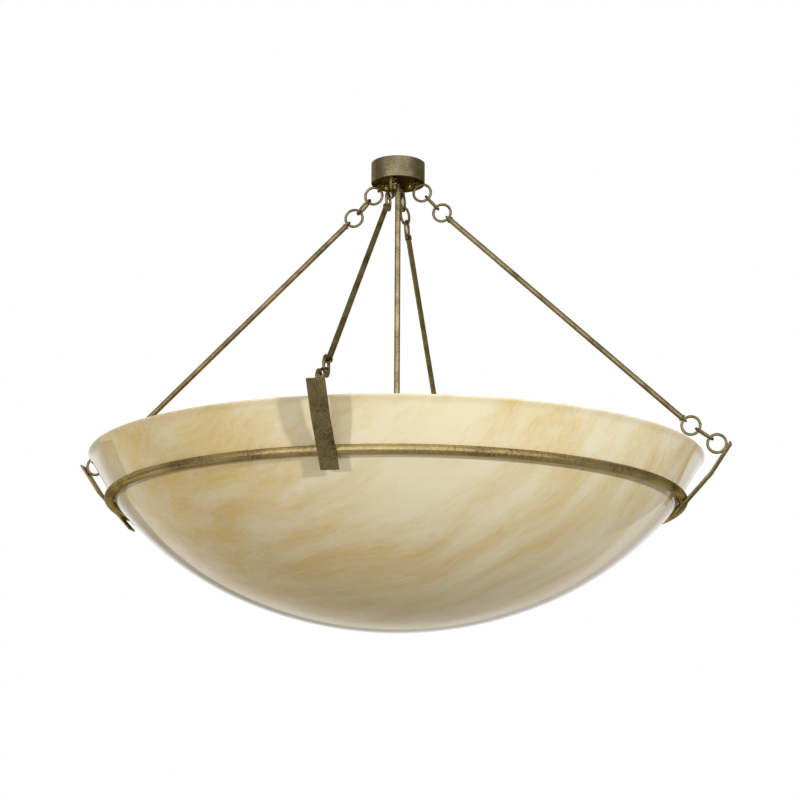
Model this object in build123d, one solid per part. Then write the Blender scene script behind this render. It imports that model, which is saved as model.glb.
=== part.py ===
from build123d import *
import os
from math import asin, atan2, cos, degrees, hypot, radians, sin, sqrt, tan

os.makedirs("parts", exist_ok=True)

# A large bowl pendant: a drum canopy, a central stem with a lamp cluster, four taut
# suspension arms, and a hoop that carries the loose bowl.
# Millimetres and degrees. The origin is the centre of the canopy's open top, on the
# ceiling. +Z is up, and the four arms lie along +X, +Y, -X and -Y.

# ---- canopy and its ceiling fixing
canopy_radius = 63.5
canopy_height = 50.4
canopy_wall = 1.6
canopy_edge_radius = 2.2
crossbar_end_gap = 5.9
crossbar_width = 19.0
crossbar_thickness = 3.0
junction_screw_spacing = 88.9
junction_hole_radius = 2.4
ground_screw_radius = 2.0
ground_screw_head_radius = 4.2
ground_screw_head_height = 2.6
ground_screw_gap = 1.3
stud_radius = 2.4
stud_reach = 6.5
cap_nut_radius = 5.0
cap_nut_height = 11.5
cap_nut_gap = 1.7
nipple_radius = 4.85
nipple_bore_radius = 3.4
nut_thickness = 4.5
nut_land = 3.4

# ---- canopy eyes, which hold the arms
eye_offset = 44.7
eye_tilt = 30.0
eye_play = 0.5
eye_wire_radius = 2.3
eye_shank_radius = 3.0
eye_shank_reach = 9.0
eye_flange_radius = 6.4
eye_flange_thickness = 1.5
eye_head_room = 1.4

# ---- stem and lamp cluster
stem_radius = 6.85
stem_collar_height = 15.0
stem_collar_radius = 6.9
stem_collar_grooves = 4
stem_collar_groove_depth = 0.6
stem_collar_groove_width = 1.6
stem_gap_below_collar = 5.5
stem_grip = 16.0
hub_drop_below_rim = 110.0
hub_radius = 46.0
hub_height = 42.0
hub_wall = 2.0
hub_edge_radius = 4.0
hub_collar_radius = 13.0
hub_collar_height = 9.0
stem_tail = 11.0
cover_rim_height = 3.0
finial_radius = 11.0
finial_height = 26.0
finial_stud_radius = 3.0
socket_count = 6
socket_first_angle = 30.0
socket_tilt = 10.0
socket_arm_radius = 6.0
socket_arm_bore = 4.0
socket_arm_length = 50.0
socket_radius = 18.5
socket_length = 46.0
socket_back_thickness = 8.0
lamp_base_radius = 13.0
lamp_base_length = 27.0
lamp_neck_radius = 14.5
lamp_globe_radius = 30.0
lamp_length = 110.0

# ---- suspension arms
wire_radius = 3.175
ring_mean_radius = 20.6
link_length = 49.5
link_width = 26.0
link_end_radius = 7.0
chain_sag = 7.2
chain_pitch = 47.9
rod_radius = 6.35
rod_wall = 1.25
rod_plug_length = 14.0
collar_radius = 8.3
collar_thickness = 3.2
collar_edge_radius = 0.8
collar_gap = 1.2

# ---- hoop, straps and lug rings
rim_drop = 723.8
hoop_tube_radius = 10.0
hoop_below_rim = 100.4
strap_width = 38.1
strap_thickness = 4.0
strap_lower_lean = 42.5
strap_upper_lean = 34.0
strap_tail = 39.0
strap_to_bend = 83.0
strap_above_bend = 80.0
strap_edge_radius = 0.6
lug_ring_drop = 17.8
south_lug_drop = 15.0
weld_bite = 0.4

# ---- bowl
rim_radius = 698.0
bowl_wall = 8.0
bowl_lip_radius = 2.5
bowl_cone_angle = 31.05
bowl_cone_depth = 100.0
bowl_knuckle_radius = 116.0
bowl_knuckle_turn = 10.5
bowl_side_radius = 759.0
bowl_side_turn = 24.7

# ---- clearances
thread_clearance = 0.1
wire_play = 0.4
lamp_clearance = 0.3
seat_clearance = 0.3

# ---- derived levels and places
canopy_underside = -canopy_height
canopy_floor = canopy_underside + canopy_wall
crossbar_length = 2 * (canopy_radius - canopy_wall - crossbar_end_gap)
eye_mean_radius = wire_radius + eye_wire_radius + eye_play
shank_offset = eye_offset - eye_mean_radius * sin(radians(eye_tilt))
stud_offset = shank_offset - eye_flange_radius - cap_nut_radius - cap_nut_gap
nut_corner_radius = (nipple_radius + nut_land) / cos(radians(30.0))
ground_screw_offset = nut_corner_radius + ground_screw_head_radius + ground_screw_gap
eye_to_collar = wire_radius + collar_gap
ring_rise = ring_mean_radius * (1 - sin(radians(chain_pitch))) + wire_radius
eye_drop = ring_rise + eye_head_room
collar_underside = canopy_underside - stem_collar_height
stem_top = collar_underside - stem_gap_below_collar
hub_top = -rim_drop - hub_drop_below_rim
hoop_level = -rim_drop - hoop_below_rim
cone_lean = radians(bowl_cone_angle)
hoop_stand_off = (hoop_tube_radius + seat_clearance) / cos(cone_lean)
hoop_radius = rim_radius - hoop_below_rim * tan(cone_lean) + hoop_stand_off
link_half_length = link_length / 2 - wire_radius
link_half_width = link_width / 2 - wire_radius
link_grip = link_half_length - 2 * wire_radius - wire_play
link_pitch = ring_mean_radius + link_grip
upper_chain = ring_mean_radius + 2 * link_pitch
lower_chain = link_pitch + link_grip
arm_step = 90.0

# Each arm's name, and how far below its strap's top the lug ring is welded.
arms = [("east", lug_ring_drop), ("north", lug_ring_drop),
        ("west", lug_ring_drop), ("south", south_lug_drop)]


def save(node, *solids):
    """Write one node: a single solid, or a group of separate ones."""
    shape = solids[0] if len(solids) == 1 else Compound(children=list(solids))
    export_step(shape, f"parts/{node}.step")


def rod_along_z(radius, low, high, bore=0.0):
    """A round bar or tube on the Z axis between two levels."""
    profile = Circle(radius) - Circle(bore) if bore else Circle(radius)
    return extrude(Plane.XY.offset(low) * profile, high - low)


def hex_nut(hole_radius, low, across_flats):
    """A hexagonal nut on the Z axis, sitting on the given level."""
    outline = RegularPolygon(across_flats / 2, 6, major_radius=False) - Circle(hole_radius)
    return extrude(Plane.XY.offset(low) * outline, nut_thickness)


def revolved(points):
    """A solid of revolution about Z from (radius, level) points."""
    corners = [(radius, 0, level) for radius, level in points]
    return revolve(make_face(Polyline(*corners, close=True)), Axis.Z)


def around(shape, angle):
    """A copy of a shape turned about the pendant's axis."""
    return Rot(0, 0, angle) * shape


# ---- canopy and its ceiling fixing
def make_crossbar():
    """A flat steel bar with the junction box holes, stud holes and nipple hole."""
    bar = Pos(0, 0, -crossbar_thickness / 2) * Box(crossbar_length, crossbar_width, crossbar_thickness)
    bar = fillet(bar.edges().filter_by(Axis.Z), crossbar_width / 2 - canopy_edge_radius)
    half = junction_screw_spacing / 2
    holes = [(half, junction_hole_radius), (-half, junction_hole_radius)]
    holes += [(stud_offset, stud_radius + thread_clearance)]
    holes += [(-stud_offset, stud_radius + thread_clearance)]
    holes += [(0, nipple_radius + thread_clearance)]
    holes += [(ground_screw_offset, ground_screw_radius + thread_clearance)]
    for place, radius in holes:
        bar -= Pos(place, 0, 0) * rod_along_z(radius, -2 * crossbar_thickness, crossbar_thickness)
    return bar


def make_ground_screw():
    """A slotted pan-head screw under the crossbar."""
    head_top = -crossbar_thickness
    head_low = head_top - ground_screw_head_height
    head = rod_along_z(ground_screw_head_radius, head_low, head_top)
    head = fillet(head.edges().group_by(Axis.Z)[0], ground_screw_head_height / 3)
    shank = rod_along_z(ground_screw_radius, head_top, -seat_clearance)
    slot_depth = ground_screw_head_height / 3
    slot = Pos(0, 0, head_low) * Box(2 * ground_screw_head_radius, slot_depth, 2 * slot_depth)
    return Pos(ground_screw_offset, 0, 0) * (head + shank - slot)


def make_canopy():
    """The drum: an open-topped spun cup, drilled for stem, studs and eyes."""
    drum = rod_along_z(canopy_radius, canopy_underside, 0)
    drum = fillet(drum.edges().group_by(Axis.Z)[0], canopy_edge_radius)
    inside_radius = canopy_radius - canopy_wall
    drum -= rod_along_z(inside_radius, canopy_floor, canopy_wall)
    low = canopy_underside - canopy_wall
    high = canopy_floor + canopy_wall
    drum -= rod_along_z(nipple_radius + thread_clearance, low, high)
    for side in (1, -1):
        hole = rod_along_z(stud_radius + thread_clearance, low, high)
        drum -= Pos(side * stud_offset, 0, 0) * hole
    for index in range(len(arms)):
        hole = Pos(shank_offset, 0, 0) * rod_along_z(eye_shank_radius + thread_clearance, low, high)
        drum -= around(hole, index * arm_step)
    return drum


def make_canopy_stud(side):
    """A threaded stud from the crossbar down through the canopy."""
    stud = rod_along_z(stud_radius, canopy_underside - stud_reach, -seat_clearance)
    return Pos(side * stud_offset, 0, 0) * stud


def make_cap_nut(side):
    """A domed nut that draws the canopy up to the ceiling."""
    flat_height = cap_nut_height - cap_nut_radius
    body = rod_along_z(cap_nut_radius, canopy_underside - flat_height, canopy_underside)
    dome = Pos(0, 0, canopy_underside - flat_height) * Sphere(cap_nut_radius)
    bore_end = canopy_underside - stud_reach - seat_clearance
    nut = body + dome - rod_along_z(stud_radius + thread_clearance, bore_end, canopy_underside)
    return Pos(side * stud_offset, 0, 0) * nut


# ---- canopy eyes
def eye_centre():
    """Radius and level of the hole of a canopy eye."""
    return eye_offset, canopy_underside - eye_drop


def make_canopy_eye():
    """An eye that leans towards its arm, with a flange and a threaded shank."""
    radius, level = eye_centre()
    eye = Pos(radius, 0, level) * Rot(0, 90 - eye_tilt, 0) * Torus(eye_mean_radius, eye_wire_radius)
    neck_low = level + eye_mean_radius * cos(radians(eye_tilt))
    shank_high = canopy_floor + eye_shank_reach
    shank = rod_along_z(eye_shank_radius, neck_low, shank_high)
    flange = rod_along_z(eye_flange_radius, canopy_underside - eye_flange_thickness, canopy_underside)
    flange = fillet(flange.edges().group_by(Axis.Z)[0], eye_flange_thickness / 2)
    return eye + Pos(shank_offset, 0, 0) * (shank + flange)


def make_eye_nut():
    """The nut of a canopy eye, on the canopy's floor."""
    across_flats = 2 * (eye_shank_radius + nut_land)
    nut = hex_nut(eye_shank_radius + thread_clearance, canopy_floor, across_flats)
    return Pos(shank_offset, 0, 0) * nut


# ---- stem and lamp cluster
def make_nipple():
    """The hollow threaded nipple that carries the stem."""
    low = stem_top - stem_grip
    return rod_along_z(nipple_radius, low, -seat_clearance, nipple_bore_radius)


def make_nipple_nut(low):
    """One lock nut on the nipple."""
    across_flats = 2 * (nipple_radius + nut_land)
    return hex_nut(nipple_radius + thread_clearance, low, across_flats)


def make_stem_collar():
    """The ribbed lock collar under the canopy."""
    collar = rod_along_z(stem_collar_radius, collar_underside, canopy_underside)
    collar = chamfer(collar.edges().group_by(Axis.Z)[0], stem_collar_groove_depth)
    step = stem_collar_height / (stem_collar_grooves + 1)
    inner = stem_collar_radius - stem_collar_groove_depth
    for index in range(stem_collar_grooves):
        low = collar_underside + step * (index + 1) - stem_collar_groove_width / 2
        collar -= rod_along_z(2 * stem_collar_radius, low, low + stem_collar_groove_width, inner)
    bore = nipple_radius + thread_clearance
    return collar - rod_along_z(bore, collar_underside - bore, canopy_underside + bore)


def make_stem():
    """The stem tube, screwed on the nipple and reaching into the hub."""
    low = hub_top - hub_wall - stem_tail
    return rod_along_z(stem_radius, low, stem_top, nipple_radius + thread_clearance)


def make_hub_collar():
    """A turned collar that covers the stem's entry to the hub."""
    bore = stem_radius + thread_clearance
    waist = (bore + hub_collar_radius) / 2
    foot = hub_top + hub_collar_height / 3
    return revolved([(bore, hub_top), (hub_collar_radius, hub_top), (hub_collar_radius, foot),
                     (waist, hub_top + hub_collar_height), (bore, hub_top + hub_collar_height)])


def make_hub():
    """The cluster's cup, open below, with a hole for each socket arm."""
    hub = rod_along_z(hub_radius, hub_top - hub_height, hub_top)
    hub = fillet(hub.edges().group_by(Axis.Z)[-1], hub_edge_radius)
    hub -= rod_along_z(hub_radius - hub_wall, hub_top - hub_height - hub_wall, hub_top - hub_wall)
    hub -= rod_along_z(stem_radius + thread_clearance, hub_top - 2 * hub_wall, hub_top + hub_wall)
    hole = rod_along_z(socket_arm_radius + thread_clearance, -2 * hub_wall, socket_arm_length)
    for index in range(socket_count):
        hub -= socket_place(index) * hole
    return hub


def make_stem_nut():
    """The nut that holds the hub on the stem."""
    across_flats = 2 * (stem_radius + nut_land)
    low = hub_top - hub_wall - nut_thickness
    return hex_nut(stem_radius + thread_clearance, low, across_flats)


def make_cover():
    """The dished cover under the hub, with a spigot inside the cup."""
    level = hub_top - hub_height
    plate = rod_along_z(hub_radius, level - hub_wall, level)
    plate = fillet(plate.edges().group_by(Axis.Z)[0], hub_wall / 2)
    spigot_radius = hub_radius - hub_wall - thread_clearance
    plate += rod_along_z(spigot_radius, level, level + cover_rim_height, spigot_radius - hub_wall)
    bore = finial_stud_radius + thread_clearance
    return plate - rod_along_z(bore, level - 2 * hub_wall, level + hub_wall)


def make_finial():
    """A turned finial under the cover, with its stud."""
    top = hub_top - hub_height - hub_wall
    low = top - finial_height
    neck = finial_radius / 2
    button = revolved([(0, top), (finial_radius, top), (finial_radius, top - neck / 2),
                       (neck, top - neck), (neck, top - 2 * neck), (0, top - 2 * neck)])
    ball_radius = (top - 2 * neck - low) / 2 + neck / 4
    ball = Pos(0, 0, low + ball_radius) * Sphere(ball_radius)
    stud = rod_along_z(finial_stud_radius, top, top + 2 * hub_wall + nut_thickness)
    return button + ball + stud


def socket_place(index):
    """The frame of one socket: its +Z runs out along the lamp from the hub's wall."""
    level = hub_top - hub_height / 2
    turn = socket_first_angle + index * 360 / socket_count
    return Rot(0, 0, turn) * Pos(hub_radius - hub_wall, 0, level) * Rot(0, 90 - socket_tilt, 0)


def make_socket_arm(index):
    """A short tube from the hub to the back of a socket."""
    tail = 3 * hub_wall
    tube = rod_along_z(socket_arm_radius, -tail, socket_arm_length, socket_arm_bore)
    return socket_place(index) * tube


def socket_front():
    """Distance from the hub's wall to the open end of a socket."""
    return socket_arm_length - socket_back_thickness + thread_clearance + socket_length


def make_socket(index):
    """A glazed porcelain lampholder with a stepped back."""
    front = socket_front()
    back = front - socket_length
    shoulder = socket_arm_radius + (socket_radius - socket_arm_radius) / 2
    body = revolved([(0, back), (shoulder, back), (socket_radius, back + socket_back_thickness),
                     (socket_radius, front), (0, front)])
    lip = body.edges().group_by(Axis.Z)[-1]
    body = fillet(lip, (socket_radius - lamp_base_radius) / 4)
    body -= rod_along_z(socket_arm_radius + thread_clearance, back - socket_back_thickness, socket_arm_length)
    bore = lamp_base_radius + lamp_clearance
    body -= rod_along_z(bore, lamp_seat() - lamp_clearance, front + socket_back_thickness)
    return socket_place(index) * body


def lamp_seat():
    """Distance from the hub's wall to the foot of a lamp's base."""
    return socket_front() - lamp_base_length + lamp_clearance


def make_lamp(index):
    """A pear-shaped lamp: base, neck and globe as one sealed unit."""
    foot = lamp_seat()
    globe_centre = foot + lamp_length - lamp_globe_radius
    neck_level = foot + lamp_base_length
    reach = globe_centre - neck_level
    span = hypot(reach, lamp_neck_radius)
    lean = atan2(lamp_neck_radius, reach) - asin(lamp_globe_radius / span)
    touch_radius = lamp_globe_radius * cos(lean)
    touch_level = globe_centre + lamp_globe_radius * sin(lean)
    base = [(0, foot), (lamp_base_radius, foot), (lamp_base_radius, neck_level)]
    neck = [(lamp_neck_radius, neck_level), (touch_radius, touch_level), (0, touch_level)]
    lamp = revolved(base + neck) + Pos(0, 0, globe_centre) * Sphere(lamp_globe_radius)
    return socket_place(index) * lamp


# ---- straps and lug rings, drawn in the XZ plane of the east arm
def strap_line():
    """Foot, bend and top of a strap's centreline as (radius, level) points."""
    lower = (sin(radians(strap_lower_lean)), cos(radians(strap_lower_lean)))
    upper = (sin(radians(strap_upper_lean)), cos(radians(strap_upper_lean)))
    stand_off = hoop_tube_radius + strap_thickness / 2 - weld_bite
    touch = (hoop_radius + stand_off * lower[1], hoop_level - stand_off * lower[0])
    foot = (touch[0] - strap_tail * lower[0], touch[1] - strap_tail * lower[1])
    bend = (touch[0] + strap_to_bend * lower[0], touch[1] + strap_to_bend * lower[1])
    top = (bend[0] + strap_above_bend * upper[0], bend[1] + strap_above_bend * upper[1])
    return foot, bend, top


def make_strap():
    """A flat bar welded outside the hoop, with a slight bend half way up."""
    half = strap_thickness / 2
    foot, bend, top = strap_line()
    low = radians(strap_lower_lean)
    high = radians(strap_upper_lean)
    mitre = (low + high) / 2
    reach = half / cos((low - high) / 2)
    outline = []
    for side in (1, -1):
        run = [(foot[0] + side * half * cos(low), foot[1] - side * half * sin(low)),
               (bend[0] + side * reach * cos(mitre), bend[1] - side * reach * sin(mitre)),
               (top[0] + side * half * cos(high), top[1] - side * half * sin(high))]
        outline += run if side == 1 else run[::-1]
    corners = [(radius, 0, level) for radius, level in outline]
    plate = extrude(make_face(Polyline(*corners, close=True)), strap_width / 2, dir=(0, 1, 0), both=True)
    long_edges = plate.edges().filter_by(lambda edge: edge.length > strap_above_bend / 2)
    return fillet(long_edges, strap_edge_radius)


def lug_weld_point(drop):
    """Where a lug ring meets the inner face of its strap."""
    _, _, top = strap_line()
    lean = radians(strap_upper_lean)
    radius = top[0] - drop * sin(lean) - strap_thickness / 2 * cos(lean)
    level = top[1] - drop * cos(lean) + strap_thickness / 2 * sin(lean)
    return radius, level


def lug_ring_place(drop):
    """The frame of a lug ring: centre on the origin, ring in its XY plane."""
    lean = radians(strap_upper_lean)
    weld_radius, weld_level = lug_weld_point(drop)
    stand_off = ring_mean_radius + wire_radius - weld_bite
    hang = Pos(-stand_off * cos(lean), 0, stand_off * sin(lean)) * Rot(90, 0, 0)
    return Pos(weld_radius, 0, weld_level) * hang


def make_lug_ring(drop):
    """The round ring welded inside a strap's top end."""
    return lug_ring_place(drop) * Torus(ring_mean_radius, wire_radius)


# ---- suspension arms, each drawn in the frame of the east arm
def eye_hole():
    """Centre of a canopy eye's hole."""
    radius, level = eye_centre()
    return Vector(radius, 0, level)


def lug_contact(place, pull_from):
    """The point of a lug ring's wire that a pull from another point draws on."""
    centre = place.position
    axis = Axis(place).direction
    pull = pull_from - centre
    flat = (pull - axis * pull.dot(axis)).normalized()
    return centre + flat * ring_mean_radius


def arm_layout(drop):
    """Eye hole, second ring, third ring, lug ring contact, and the arm's side axis."""
    start = eye_hole()
    end = lug_contact(lug_ring_place(drop), start)
    along = (end - start).normalized()
    side = Vector(0, 0, 1).cross(along).normalized()
    below = side.cross(along).normalized()
    second = start + along * sqrt(upper_chain ** 2 - chain_sag ** 2) + below * chain_sag
    third = end - along * sqrt(lower_chain ** 2 - chain_sag ** 2) + below * chain_sag
    print(f"arm of {(end - start).length:.1f} mm, with {(third - second).length:.1f} mm from ring to ring")
    return start, second, third, end, side


def make_ring(centre, along, side):
    """A round ring that lies in the arm's own vertical plane."""
    return Plane(origin=centre, x_dir=along, z_dir=side) * Torus(ring_mean_radius, wire_radius)


def link_side_radius():
    """Radius of a link's long sides, which run tangent into its ends."""
    shoulder = link_half_length - link_end_radius
    rise = link_half_width ** 2 - link_end_radius ** 2
    return (shoulder ** 2 + rise) / (2 * (link_half_width - link_end_radius))


def make_link(centre, along, side):
    """An oval link, square to the rings: four bent lengths of round wire."""
    side_radius = link_side_radius()
    shoulder = link_half_length - link_end_radius
    side_centre = side_radius - link_half_width
    half_turn = degrees(atan2(shoulder, side_centre))
    link = None
    for flip in (0, 180):
        wire = Plane(origin=(shoulder + link_end_radius, 0, 0), z_dir=(0, 1, 0)) * Circle(wire_radius)
        end_axis = Axis((shoulder, 0, 0), (0, 0, 1))
        end_turn = 90 - half_turn
        bend = revolve(wire.rotate(end_axis, -end_turn), end_axis, 2 * end_turn)
        flank_axis = Axis((0, -side_centre, 0), (0, 0, 1))
        flank_wire = Plane(origin=(0, link_half_width, 0), z_dir=(1, 0, 0)) * Circle(wire_radius)
        flank = revolve(flank_wire.rotate(flank_axis, -half_turn), flank_axis, 2 * half_turn)
        half = Rot(0, 0, flip) * (bend + flank)
        link = half if link is None else link + half
    return Plane(origin=centre, x_dir=along, z_dir=along.cross(side)) * link


def make_rod(second, third, side):
    """The rod's tube, from collar to collar."""
    along = (third - second).normalized()
    inset = ring_mean_radius + eye_to_collar + collar_thickness
    length = (third - second).length - 2 * inset
    profile = Circle(rod_radius) - Circle(rod_radius - rod_wall)
    return extrude(Plane(origin=second + along * inset, x_dir=side, z_dir=along) * profile, length)


def make_rod_end(ring_centre, along, side):
    """An eye with a collar and a plug that fits inside the rod's tube."""
    eye = Torus(eye_mean_radius, eye_wire_radius)
    collar = Plane.YZ.offset(eye_to_collar) * Circle(collar_radius)
    collar = extrude(collar, collar_thickness)
    collar = fillet(collar.edges().filter_by(GeomType.CIRCLE), collar_edge_radius)
    plug_radius = rod_radius - rod_wall - thread_clearance
    plug = extrude(Plane.YZ.offset(eye_to_collar + collar_thickness / 2) * Circle(plug_radius),
                   collar_thickness / 2 + rod_plug_length)
    place = Plane(origin=ring_centre + along * ring_mean_radius, x_dir=along, z_dir=along.cross(side))
    return place * (eye + collar + plug)


def save_arm(name, angle, drop):
    """Write the nodes of one suspension arm."""
    start, second, third, end, side = arm_layout(drop)
    upper = (second - start).normalized()
    rod_line = (third - second).normalized()
    lower = (end - third).normalized()
    first = start + upper * ring_mean_radius
    rings = [make_ring(first, upper, side), make_ring(second, rod_line, side)]
    links = [make_link(first + upper * link_pitch, upper, side),
             make_link(third + lower * link_pitch, lower, side)]
    ends = [make_rod_end(second, rod_line, side), make_rod_end(third, -rod_line, side)]
    save(f"{name}_upper_rings", *[around(ring, angle) for ring in rings])
    save(f"{name}_lower_ring", around(make_ring(third, rod_line, side), angle))
    save(f"{name}_oval_links", *[around(link, angle) for link in links])
    save(f"{name}_rod", around(make_rod(second, third, side), angle))
    save(f"{name}_rod_ends", *[around(rod_end, angle) for rod_end in ends])


# ---- bowl
def bowl_profile(inset):
    """Edges of the bowl's outer line, or of the line that lies inset from it."""
    rim = Vector(rim_radius - inset / cos(cone_lean), 0, -rim_drop)
    corner = Vector(rim_radius - bowl_cone_depth * tan(cone_lean), 0, -rim_drop - bowl_cone_depth)
    corner = corner - Vector(cos(cone_lean), 0, -sin(cone_lean)) * inset
    edges = [Line(rim, corner)]
    angle = bowl_cone_angle
    turns = [(bowl_knuckle_radius, bowl_knuckle_turn), (bowl_side_radius, bowl_side_turn)]
    for radius, turn in turns:
        edges.append(profile_arc(edges[-1] @ 1, radius - inset, angle, turn))
        angle += turn
    crown_radius = (edges[-1] @ 1).X / cos(radians(angle))
    edges.append(profile_arc(edges[-1] @ 1, crown_radius, angle, 90 - angle))
    return edges


def profile_arc(start, radius, angle, turn):
    """An arc that leaves start at an angle from straight down, turning to the axis."""
    centre = start - Vector(cos(radians(angle)), 0, -sin(radians(angle))) * radius
    places = []
    for share in (0.5, 1.0):
        heading = radians(angle + share * turn)
        places.append(centre + Vector(cos(heading), 0, -sin(heading)) * radius)
    return ThreePointArc(start, *places)


def make_bowl():
    """The bowl: a flared wall that rounds over into a shallow dome."""
    outer = bowl_profile(0.0)
    inner = bowl_profile(bowl_wall)
    lip = Line(inner[0] @ 0, outer[0] @ 0)
    foot = Line(outer[-1] @ 1, inner[-1] @ 1)
    face = make_face(outer + [foot] + inner + [lip])
    bowl = revolve(face, Axis.Z)
    lip_edges = bowl.edges().group_by(Axis.Z)[-1]
    return fillet(lip_edges, min(bowl_lip_radius, bowl_wall / 3))


# ---- write every node
save("mounting_crossbar", make_crossbar())
save("ground_screw", make_ground_screw())
save("canopy", make_canopy())
save("canopy_studs", make_canopy_stud(1), make_canopy_stud(-1))
save("canopy_cap_nuts", make_cap_nut(1), make_cap_nut(-1))
save("canopy_eye_nuts", *[around(make_eye_nut(), k * arm_step) for k in range(len(arms))])
save("stem_nipple", make_nipple())
save("nipple_lock_nuts", make_nipple_nut(-crossbar_thickness - nut_thickness), make_nipple_nut(canopy_floor))
save("stem_collar", make_stem_collar())
save("stem", make_stem())
save("hub_collar", make_hub_collar())
save("cluster_hub", make_hub())
save("stem_lock_nut", make_stem_nut())
save("cluster_cover", make_cover())
save("cluster_finial", make_finial())
save("socket_arms", *[make_socket_arm(k) for k in range(socket_count)])
save("lamp_sockets", *[make_socket(k) for k in range(socket_count)])
for number in range(socket_count):
    save(f"lamp_{number + 1}", make_lamp(number))

save("hoop", Pos(0, 0, hoop_level) * Torus(hoop_radius, hoop_tube_radius))
for number, (arm, lug_drop) in enumerate(arms):
    arm_angle = number * arm_step
    save(f"canopy_eye_{arm}", around(make_canopy_eye(), arm_angle))
    save(f"strap_{arm}", around(make_strap(), arm_angle))
    save(f"lug_ring_{arm}", around(make_lug_ring(lug_drop), arm_angle))
    save_arm(arm, arm_angle, lug_drop)
save("bowl", make_bowl())
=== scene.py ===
from math import atan2, cos, exp, hypot, pi, radians, sin, tan
import bmesh
import bpy
import numpy as np
from mathutils import Matrix, Vector, noise


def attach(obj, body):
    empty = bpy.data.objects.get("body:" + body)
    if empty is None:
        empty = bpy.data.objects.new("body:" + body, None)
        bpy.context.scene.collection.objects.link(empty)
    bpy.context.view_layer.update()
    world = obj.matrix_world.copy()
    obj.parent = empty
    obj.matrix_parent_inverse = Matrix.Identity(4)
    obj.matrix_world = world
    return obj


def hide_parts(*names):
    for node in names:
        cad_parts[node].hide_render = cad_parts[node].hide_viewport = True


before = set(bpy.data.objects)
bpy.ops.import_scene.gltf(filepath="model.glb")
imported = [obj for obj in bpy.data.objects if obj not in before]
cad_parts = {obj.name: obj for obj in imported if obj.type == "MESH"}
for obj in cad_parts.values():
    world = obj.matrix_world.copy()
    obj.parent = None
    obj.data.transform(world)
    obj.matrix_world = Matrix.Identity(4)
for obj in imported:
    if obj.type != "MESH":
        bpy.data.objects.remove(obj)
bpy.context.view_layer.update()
print("frame:", len(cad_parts), "nodes")

armTurns = {"east": 0.0, "north": 90.0, "west": 180.0, "south": 270.0}   # degrees from +X
upAxis = Vector((0, 0, 1))


# small helpers
def hexLinear(code):
    parts = [int(code[k:k + 2], 16) / 255 for k in (1, 3, 5)]
    return [p / 12.92 if p <= 0.04045 else ((p + 0.055) / 1.055) ** 2.4 for p in parts] + [1.0]


def addNode(tree, kind, inputs=None, stops=None, **settings):
    node = tree.nodes.new("ShaderNode" + kind)
    for name, value in settings.items():
        setattr(node, name, value)
    for key, value in (inputs or {}).items():
        if isinstance(value, bpy.types.NodeSocket):
            tree.links.new(value, node.inputs[key])
        else:
            node.inputs[key].default_value = value
    for index, (where, code) in enumerate(stops or []):
        ramp = node.color_ramp.elements
        stop = ramp[index] if index < 2 else ramp.new(where)
        stop.position, stop.color = where, hexLinear(code)
    return node


def span(fromLow, fromHigh, toLow, toHigh):      # a MapRange's inputs after its value
    return {1: fromLow, 2: fromHigh, 3: toLow, 4: toHigh}


def startMaterial(name, values):
    material = bpy.data.materials.new(name)
    material.use_nodes = True
    tree = material.node_tree
    tree.nodes.clear()
    shader = addNode(tree, "BsdfPrincipled", values)
    addNode(tree, "OutputMaterial", {"Surface": shader.outputs[0]})
    return material, tree, shader


def addPiece(name, shell, material, body, stands=(), sharp=40.0):
    points, faces = shell
    mesh = bpy.data.meshes.new(name)
    mesh.from_pydata([tuple(p) for p in points], [], faces)
    surface = bmesh.new()
    surface.from_mesh(mesh)
    bmesh.ops.recalc_face_normals(surface, faces=surface.faces)
    surface.to_mesh(mesh)
    surface.free()
    mesh.polygons.foreach_set("use_smooth", [True] * len(mesh.polygons))
    mesh.set_sharp_from_angle(angle=radians(sharp))
    mesh.materials.append(material)
    piece = bpy.data.objects.new(name, mesh)
    bpy.context.scene.collection.objects.link(piece)
    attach(piece, body)
    if stands:
        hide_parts(*stands)


def joinShells(shells):
    points, faces = [], []
    for shellPoints, shellFaces in shells:
        start = len(points)
        points += list(shellPoints)
        faces += [tuple(start + corner for corner in face) for face in shellFaces]
    return points, faces


def lathe(profile, segments, place=Matrix.Identity(4)):      # profile: a closed loop of (radius, level)
    points, where = [], {}
    for row, (radius, level) in enumerate(profile):
        for step in range(segments if radius > 1e-7 else 1):
            turn = 2 * pi * step / segments
            where[row, step] = len(points)
            points.append(place @ Vector((radius * cos(turn), radius * sin(turn), level)))
    faces = []
    for row in range(len(profile)):
        after = (row + 1) % len(profile)
        for step in range(segments):
            ring = [(row, step), (row, step + 1), (after, step + 1), (after, step)]
            spots = [where.get((r, s % segments), where[r, 0]) for r, s in ring]
            face = tuple(dict.fromkeys(spots))
            if len(face) > 2:
                faces.append(face)
    return points, faces


def skin(rows, around, closed):      # faces between rings of points, with two end faces on an open run
    faces = []
    for row in range(rows if closed else rows - 1):
        here, there = row * around, (row + 1) % rows * around
        for k in range(around):
            after = (k + 1) % around
            faces.append((here + k, here + after, there + after, there + k))
    if not closed:
        faces += [tuple(range(around)), tuple((rows - 1) * around + k for k in range(around))]
    return faces


def tube(path, side, radius, closed, around=18):      # radius: a function of the share along the path
    count = len(path)
    points = []
    for index, point in enumerate(path):
        before = path[(index - 1) % count] if closed or index else point
        after = path[(index + 1) % count] if closed or index < count - 1 else point
        along = (after - before).normalized()
        across = (side - along * side.dot(along)).normalized()
        outward = along.cross(across)
        for k in range(around):
            turn = 2 * pi * k / around
            points.append(point + (across * cos(turn) + outward * sin(turn)) * radius(index / count))
    return points, skin(count, around, closed)


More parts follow.
